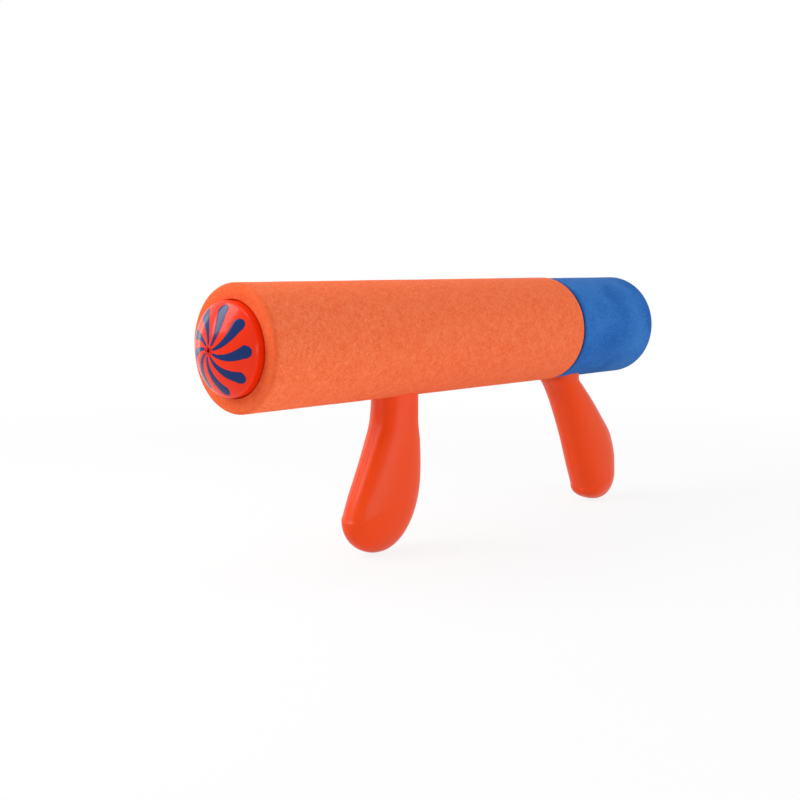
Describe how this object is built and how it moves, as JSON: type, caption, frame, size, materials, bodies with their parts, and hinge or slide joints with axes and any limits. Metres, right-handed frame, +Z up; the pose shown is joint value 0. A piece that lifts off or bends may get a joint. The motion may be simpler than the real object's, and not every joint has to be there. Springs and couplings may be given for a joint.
{
  "type": "water squirter",
  "caption": "Pump squirter with a foam-sleeved barrel, domed petal nozzle and fixed front handle, and a plunger with a foam grip and its own handle that slides out of the rear.",
  "frame": {"origin": "centre of the nozzle's mouth, on the barrel's axis", "axes": "+X along the barrel, the way the water leaves; +Z up, away from the handles; +Y to the left of someone holding it"},
  "size_m": [0.3421, 0.064, 0.149],
  "materials": {
    "orange_foam": "matte",
    "blue_foam": "matte",
    "handle_plastic": "gloss",
    "cap_plastic": "gloss",
    "jet_plastic": "gloss",
    "petal_plastic": "gloss",
    "white_plastic": "satin",
    "black_rubber": "matte",
    "screw_steel": "satin"
  },
  "bodies": {
    "barrel": {"sleeve_foam": "orange_foam", "barrel_tube": "white_plastic", "nozzle_cap": "cap_plastic", "nozzle_petals": "petal_plastic", "nozzle_jet": "jet_plastic", "nozzle_gasket": "black_rubber", "front_bracket": "white_plastic", "front_handle_left": "handle_plastic", "front_handle_right": "handle_plastic", "front_handle_screws": "screw_steel", "rear_guide": "handle_plastic", "guide_screws": "screw_steel", "stop_ring": "black_rubber"},
    "plunger": {"plunger_rod": "white_plastic", "piston_head": "handle_plastic", "piston_rings": "black_rubber", "piston_washer": "screw_steel", "piston_bolt": "screw_steel", "grip_core": "handle_plastic", "core_pin": "screw_steel", "grip_foam": "blue_foam", "grip_end_cap": "handle_plastic", "rear_bracket": "white_plastic", "rear_handle_left": "handle_plastic", "rear_handle_right": "handle_plastic", "rear_handle_screws": "screw_steel"}
  },
  "joints": [
    {"name": "pump", "type": "slide", "parent": "barrel", "child": "plunger", "axis": [-1, 0, 0], "range_m": [0, 0.209]}
  ]
}
